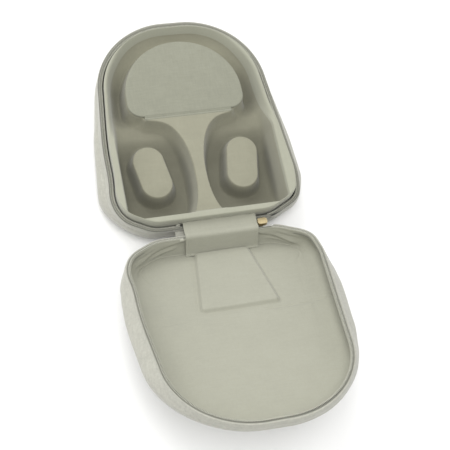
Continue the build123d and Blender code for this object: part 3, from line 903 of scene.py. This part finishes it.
# fold line of the flap
fold_s = FLAP_EDGE
fold_obj, _ = cloth_strip("flap_fold_cloth",
        [(fold_s - 5.2, -4.2), (fold_s - 3.0, -2.9), (fold_s - FOLD, -2.3), (fold_s - 0.5, -2.55),
        (fold_s + 0.3, -3.0), (fold_s + 0.9, -2.7), (fold_s + FOLD, -2.35), (fold_s + 3.0, -2.4), (fold_s + 4.6, -2.6)],
                          FLAP_HALF - FLAP_R, 0.6, FLAP, "tray")
flat_now = np.zeros(len(fold_obj.data.vertices) * 3)
fold_obj.data.vertices.foreach_get("co", flat_now)
flat_now = flat_now.reshape(-1, 3) / MM
fold_x, fold_at, fold_h = flat_now[:, 0], flat_now[:, 1] - HINGE[1] - TO_RIM, flat_now[:, 2] - HINGE[2]
under = insert_height(fold_x, np.minimum(fold_at, FLAP_EDGE - FOLD - 0.4)) - 0.25
keep_h = np.where(fold_at < FLAP_EDGE - FOLD + 0.2, np.minimum(fold_h, under), fold_h)
flat_now[:, 2] = keep_h + HINGE[2]
fold_obj.data.vertices.foreach_set("co", (flat_now * MM).ravel())
fold_obj.data.update()
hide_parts("cable_flap_fold")
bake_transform(fold_obj)


# ------ lid inside
def trapezoid_depth(x, s, near, far, w0, w1, r):
    """How far inside the raised pad a point is, with rounded corners."""
    x = np.abs(x)
    run = math.hypot(far - near, w1 - w0)
    nx, ns = (far - near) / run, -(w1 - w0) / run
    side_d = (w0 - x) * nx - (s - near) * ns
    d = np.stack([side_d, s - near, far - s], 0) - r
    outside = np.sqrt((np.minimum(d, 0) ** 2).sum(0))
    return np.where(d.min(0) < 0, -outside, d.min(0)) + r


FLOOR_SEAM = 88


def lid_floor_height(x, s):
    pad = trapezoid_depth(x - PAD_SHIFT, s, 4.0, 80.5, 26.5, 38.0, 4.0)
    h = LID_FLOOR + 3.1 * smooth(pad / 3.6 + 0.35)
    # a shallow valley where the lining is pressed down round the pad
    h = h - 0.5 * np.exp(-((pad + 2.2) / 1.6) ** 2)
    seam = 0.9 * smooth((x - 20) / 18) + 0.35 * smooth((-x - 40) / 15)
    h = h - 1.2 * seam * np.exp(-((s - FLOOR_SEAM + 0.02 * x) / 0.8) ** 2)
    h = h + 0.7 * seam * smooth((s - FLOOR_SEAM) / 2.2) * np.exp(-((s - FLOOR_SEAM) / 12) ** 2)
    h = h + 0.3 * np.sin(x / 23 + 0.6) * np.sin(s / 31 + 0.4) + 0.12 * np.sin(x / 9.0 + s / 17.0)
    return np.maximum(h, LID_FLOOR - 0.62)


wn = smooth(1.5 * W_NEAR)
ring_end = 5.0 * wn + (1 - wn) * (22.0 + 3.0 * dome)
lining_keys_side = [(-1.65, -3.0), (-1.75, -1.05), (-2.35, -0.95), (-2.1, -3.2), (0.28 * bl - 2.2 * dome, -7.2),
        (0.50 * bl - 4.6 * dome, -11.2),
                    (0.34 * bl - 8.0 * dome, -15.4), (-2.8 - 9.0 * dome, -18.9), (-9.0 - 8.0 * dome, -20.9),
                    (-15.5 - 6.0 * dome, -21.5)]
lining_keys_near = [(-1.65, -3.0), (-1.75, -1.05), (-2.35, -0.95), (-2.1, -3.2), (-0.6, -7.2), (-0.1, -11.5),
        (-0.6, -16.5), (-0.9, -19.6), (-1.6, -22.1), (-3.6, -21.6)]
cols = []
for (a, b), (c, d) in zip(lining_keys_side, lining_keys_near):
    cols.append(np.stack([a * (1 - wn) + c * wn + 0 * S, b * (1 - wn) + d * wn + 0 * S], -1))
prof = along(np.stack(cols, 1), 4)
# pleats that run down and outwards from the hinge flap to the two corners: x0, h0, x1, h1, size, reach above and
# below its line, and -1, 0 or 1 for the left corner, both, or the right
ax = np.abs(RIM_P[:, 0])[:, None]
hh = prof[..., 1]
face_near = (wn * smooth((np.where(RIM_P[:, 0] < 0, ax[:, 0], ax[:, 0] - 13) - 28) / 6))[:, None]
wall = smooth((-hh - 2.5) / 3) * smooth((hh + 21.3) / 2.5)
left_side = RIM_P[:, :1] < 0
for x0, h0, x1, h1, size, above, below, which in (
        (30, -2.0, 84, -18.5, -2.5, 6.0, 1.3, 0), (34, -11.0, 66, -20.5, -1.5, 3.5, 1.0, -1),
        (52, -3.5, 90, -11.0, -1.0, 2.6, 1.0, 1),
        (40, -3.0, 80, -9.5, -1.1, 2.4, 1.0, -1), (46, -14.0, 78, -20.0, -0.9, 2.5, 1.0, 1)):
    q = (hh - h0) - (h1 - h0) * (ax - x0) / (x1 - x0)
    fade = smooth((ax - x0) / 8) * smooth((x1 + 6 - ax) / 16) * (1.0 if which == 0 else np.where(left_side, which < 0,
            which > 0))
    prof[..., 0] += size * np.where(q > 0, np.exp(-(np.abs(q) / above) ** 1.5),
            np.exp(-(q / below) ** 2)) * fade * face_near * wall
prof[..., 0] += wander(RIM_U[:, None] * 1.3, hh, 0.5) * wall
# a wall has to leave room for the lip when the lid is shut
prof[..., 0] = np.where(hh > -11.0, np.maximum(prof[..., 0], -2.6), prof[..., 0])
cross = np.where(left, 0.3, 1.0) * W_SIDE * np.exp(-((S - 86.6) / 1.7) ** 2)
prof[..., 1] -= 0.9 * cross[:, None] * smooth((-prof[..., 1] - 9) / 8)
ends = []
for k in range(1, 9):
    t = k / 8
    off = prof[:, -1, 0] * (1 - t) - ring_end * t
    xy = RIM_P + RIM_N * off[:, None]
    target = lid_floor_height(xy[:, 0], xy[:, 1])
    ends.append(np.stack([off, prof[:, -1, 1] * (1 - smooth(t * 1.4)) + target * smooth(t * 1.4)], -1))
prof = np.concatenate([prof, np.stack(ends, 1)], 1)
pts = ring_surface(RIM_P, RIM_N, prof)
make("lid_wall_lining", place(pts.reshape(-1, 3), "lid"), ring_faces(N, pts.shape[1]), LINING, "lid",
        flip=False)


def inside_polygon(x, y, poly):
    inside = np.zeros(x.shape, bool)
    n = len(poly)
    for i in range(n):
        (x0, y0), (x1, y1) = poly[i], poly[(i + 1) % n]
        if y0 == y1:
            continue
        cross = ((y0 > y) != (y1 > y)) & (x < (x1 - x0) * (y - y0) / (y1 - y0) + x0)
        inside ^= cross
    return inside


floor_edge = RIM_P - RIM_N * (ring_end - 1.4)[:, None]
poly = floor_edge[::2]


def lid_floor_under(x, s):
    """The floor's cloth, tucked under the wall's lining at its edge."""
    near = np.full(x.shape, 1e9)
    for qx, qs in floor_edge:
        near = np.minimum(near, (x - qx) ** 2 + (s - qs) ** 2)
    return lid_floor_height(x, s) - 0.02 - 0.5 * smooth((1.3 - np.sqrt(near)) / 1.2)


verts, faces = grid_patch(lambda x, s: inside_polygon(x, s, poly), lid_floor_under, STEP, -92, 92, 2, 222)
make("lid_floor_cloth", place(verts, "lid"), faces, LINING, "lid", flip=True,
        stands_for=["lid_floor_lining", "lid_pad"])

# ------ cloth that crosses the hinge
def on_lid(s, h):
    """A point on the lid's side, as (distance from the axis toward the tray, height)."""
    y, z = turn(-(s + TO_RIM), h, -TILT)
    return y, z


flap_line = [(TO_RIM + 3.4, 1.1), (TO_RIM + 1.8, 1.9), (TO_RIM - 2.5, 2.0), (0.0, 1.65), on_lid(-1.6, 1.5),
        on_lid(0.6, 1.0), on_lid(2.2, -1.2), on_lid(2.6, -6.0), on_lid(3.0, -12.0), on_lid(3.6, -18.0),
        on_lid(4.4, -20.7), on_lid(6.2, -21.1)]
def hem(x, t):
    """The flap's turned edge, the dent of its seam, and a slow wave."""
    return 0.22 * smooth((abs(x) - 33.6) / 0.5) - 0.25 * math.exp(-((abs(x) - 33.2)
            / 0.35) ** 2) + 0.25 * math.sin(x / 15 + 1) * math.sin(t * 6)
flap_cloth, flap_path = cloth_strip("hinge_flap_cloth", flap_line, 36.3, 0.95, LINING, "axis", hem, 110, FLAP_SHIFT)
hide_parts("hinge_flap")
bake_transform(flap_cloth)

spine_line = [(TO_RIM - 2.0, -7.6), (TO_RIM - 2.4, -5.8), (2.2, -5.0), (0.0, -5.1)]
mirror = [tuple(turn(-y, z, -TILT)) for y, z in spine_line[:-1]][::-1]
spine_cloth, spine_path = cloth_strip("hinge_spine_cloth", spine_line + mirror, 37.0, 1.3, OUTER, "axis", None, 60)
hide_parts("hinge_spine")
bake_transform(spine_cloth)

# stitches down the two sides of the hinge flap
spots, ways, ups = [], [], []
run = np.concatenate([[0], np.cumsum(np.linalg.norm(np.diff(flap_path, axis=0), axis=1))])
for x in (FLAP_SHIFT - 33.2, FLAP_SHIFT + 33.2):
    for d in np.arange(3.5, run[-1] - 2.0, 2.4):
        y, z = np.interp(d, run, flap_path[:, 0]), np.interp(d, run, flap_path[:, 1])
        y2, z2 = np.interp(d + 0.5, run, flap_path[:, 0]), np.interp(d + 0.5, run, flap_path[:, 1])
        way = np.array([0, y2 - y, z2 - z])
        way /= np.linalg.norm(way)
        normal = np.array([0, way[2], -way[1]])
        spots.append(np.array([x, y, z]) - normal * 0.45)
        ways.append(way)
        ups.append(-normal)
stitches = capsules("hinge_flap_stitches", np.array(spots), np.array(ways), np.array(ups), (1.7, 0.4, 0.34), THREAD,
        None, "axis")
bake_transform(stitches)

# ------ pull: a folded ribbon round the bail's bar
PULL_X, DECK, HOLE = 49.0, 1.9, 1.8
pivot_z = -DECK - HOLE / 2 - 8.0
loop = []
for a in np.linspace(-0.35 * math.pi, 1.35 * math.pi, 15):
    loop.append((PULL_X + 1.25 * math.cos(a), pivot_z + 1.25 * math.sin(a)))
going = [(PULL_X + 0.55, pivot_z - z) for z in (20.6, 17, 12, 7, 3.6)]
coming = [(PULL_X - 0.55, pivot_z - z) for z in (3.6, 7, 12, 17, 20.6)]
line = np.array(going + loop + coming)
line3 = along(line[None], 4)[0]
d = np.gradient(line3, axis=0)
d /= np.linalg.norm(d, axis=1)[:, None]
up = np.stack([-d[:, 1], d[:, 0]], 1)
verts, faces = [], []
ws = np.linspace(-3.1, 3.1, 15)
for w in ws:
    for sign in (1, -1):
        for q in range(len(line3)):
            edge = 0.6 + 0.4 * float(smooth((3.1 - abs(w)) / 0.5))
            far = float(smooth((pivot_z - 16.5 - line3[q][1]) / 4.0))
            p = line3[q] + up[q] * sign * 0.36 * edge
            verts.append((p[0], w * (1 - 0.18 * far * abs(w) / 3.1), p[1]))
k, cols_n = len(line3), len(ws)
for i in range(cols_n - 1):
    for q in range(k - 1):
        a, b = i * 2 * k + q, (i + 1) * 2 * k + q
        faces.append((a, a + 1, b + 1, b))
        faces.append((a + k, b + k, b + k + 1, a + k + 1))
    for q in (0, k - 1):
        a, b = i * 2 * k + q, (i + 1) * 2 * k + q
        faces.append((a, b, b + k, a + k) if q == 0 else (a, a + k, b + k, b))
for q in range(k - 1):
    a, b = q, (cols_n - 1) * 2 * k + q
    faces.append((a, a + k, a + k + 1, a + 1))
    faces.append((b, b + 1, b + k + 1, b + k))
pull = make("pull_ribbon_tab", place(np.array(verts), "zip"), faces, RIBBON, "tab", stands_for=["pull_tab"])

# ------ floor, light, camera
floor_mat, tree, shader = nodes_of("studio_floor")
coords = tree.nodes.new("ShaderNodeTexCoord").outputs["Object"]
patch = noise(tree, coords, 1.5, 2.0, 0.5)
tree.links.new(ramp(tree, patch, [(0.3, (0.9, 0.9, 0.895)), (0.7, (0.93, 0.93, 0.925))]), shader.inputs["Base Color"])
shader.inputs["Roughness"].default_value = 0.9
mesh = bpy.data.meshes.new("studio_floor")
mesh.from_pydata([(-4, -4, 0), (4, -4, 0), (4, 4, 0), (-4, 4, 0)], [], [(0, 1, 2, 3)])
mesh.materials.append(floor_mat)
floor_obj = bpy.data.objects.new("studio_floor", mesh)
bpy.context.scene.collection.objects.link(floor_obj)

world = bpy.data.worlds.new("studio")
bpy.context.scene.world = world
world.use_nodes = True
world.node_tree.nodes["Background"].inputs[0].default_value = (1.0, 1.0, 1.0, 1)
world.node_tree.nodes["Background"].inputs[1].default_value = 0.74


def area_light(name, at, target, size, power):
    light = bpy.data.lights.new(name, "AREA")
    light.shape = "RECTANGLE"
    light.size, light.size_y = size
    light.energy = power
    obj = bpy.data.objects.new(name, light)
    bpy.context.scene.collection.objects.link(obj)
    obj.location = at
    way = Vector(target) - Vector(at)
    obj.rotation_euler = way.to_track_quat("-Z", "Y").to_euler()
    return obj


area_light("key_back", (-0.35, 1.1, 1.45), (0, -0.1, 0), (1.1, 0.9), 10)
area_light("top", (-0.15, -0.38, 1.7), (0, -0.1, 0), (0.7, 0.7), 13)
area_light("fill_left", (-1.3, 1.0, 0.85), (0, 0.0, 0), (0.9, 0.9), 6)
area_light("fill_front", (0.4, -1.6, 0.9), (0, -0.25, 0), (1.2, 0.7), 0.6)

# the camera, in the frame where the open lid's plane is level, then turned with it
SENSOR, FOCAL_PX, PICTURE_PX, AWAY = 36.0, 1029.4, 450, 999.5
yaw, rise, roll = math.radians(-16.7), math.radians(42.48), math.radians(3.74)
back = np.array([math.sin(yaw) * math.cos(rise), -math.cos(yaw) * math.cos(rise), math.sin(rise)])
eye = np.array([12.1, 2.3, 0.0]) + AWAY * back
right_v = np.array([math.cos(yaw), math.sin(yaw), 0.0])
up_v = np.cross(back, right_v)
right_r = math.cos(roll) * right_v + math.sin(roll) * up_v
up_r = -math.sin(roll) * right_v + math.cos(roll) * up_v
spin = np.array([[1, 0, 0], [0, math.cos(TILT), math.sin(TILT)], [0, -math.sin(TILT), math.cos(TILT)]])
cam_data = bpy.data.cameras.new("camera")
cam_data.sensor_width = SENSOR
cam_data.lens = FOCAL_PX / PICTURE_PX * SENSOR
cam_data.clip_end = 20
cam = bpy.data.objects.new("camera", cam_data)
bpy.context.scene.collection.objects.link(cam)
m = np.eye(4)
m[:3, 0], m[:3, 1], m[:3, 2] = spin @ right_r, spin @ up_r, spin @ back
m[:3, 3] = (spin @ eye + HINGE) * MM
cam.matrix_world = Matrix(m.tolist())
bpy.context.scene.camera = cam
bpy.context.scene.view_settings.view_transform = "Standard"
